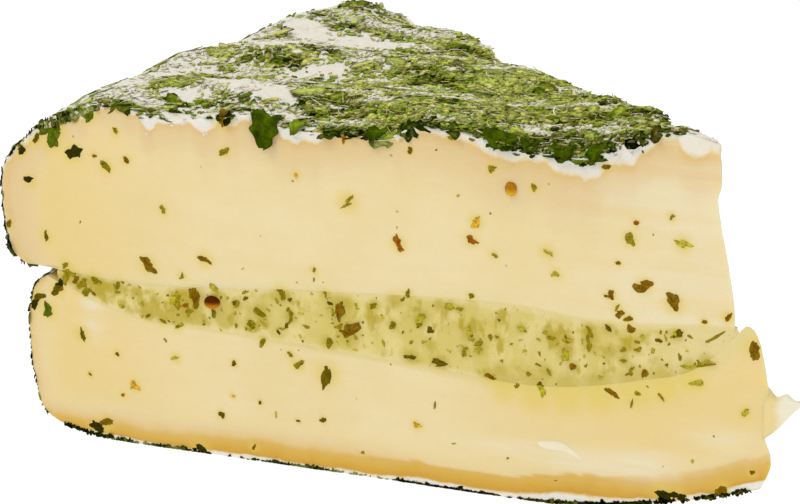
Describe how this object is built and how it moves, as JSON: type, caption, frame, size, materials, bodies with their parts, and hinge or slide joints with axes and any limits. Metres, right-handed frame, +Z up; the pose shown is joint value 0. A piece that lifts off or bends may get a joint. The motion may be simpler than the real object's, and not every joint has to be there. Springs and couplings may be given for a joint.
{
  "type": "herb brie wedge",
  "caption": "Wedge of soft-ripened brie with a herb-coated rind, split across and filled with a layer of herb cream.",
  "frame": {"origin": "on the floor under the middle of the wedge's box", "axes": "+Z up, +X along the near cut face towards the tip, -Y out of the near cut face"},
  "size_m": [0.1249, 0.0821, 0.0584],
  "materials": {
    "upper_paste": "moist cream paste under a white rind covered with green herb flakes",
    "herb_cream": "soft pale green cream full of herb pieces",
    "lower_paste": "moist cream paste with a tan ripened band over a thin herb-coated rind",
    "white_rind": "matt white bloom, torn and crumbly at the cut edges",
    "herb_flakes": "dried green leaf flakes, from bright to nearly black, with a few brown spice bits"
  },
  "bodies": {
    "root": {"upper_half": "upper_paste", "herb_filling": "herb_cream", "lower_half": "lower_paste"}
  },
  "joints": []
}
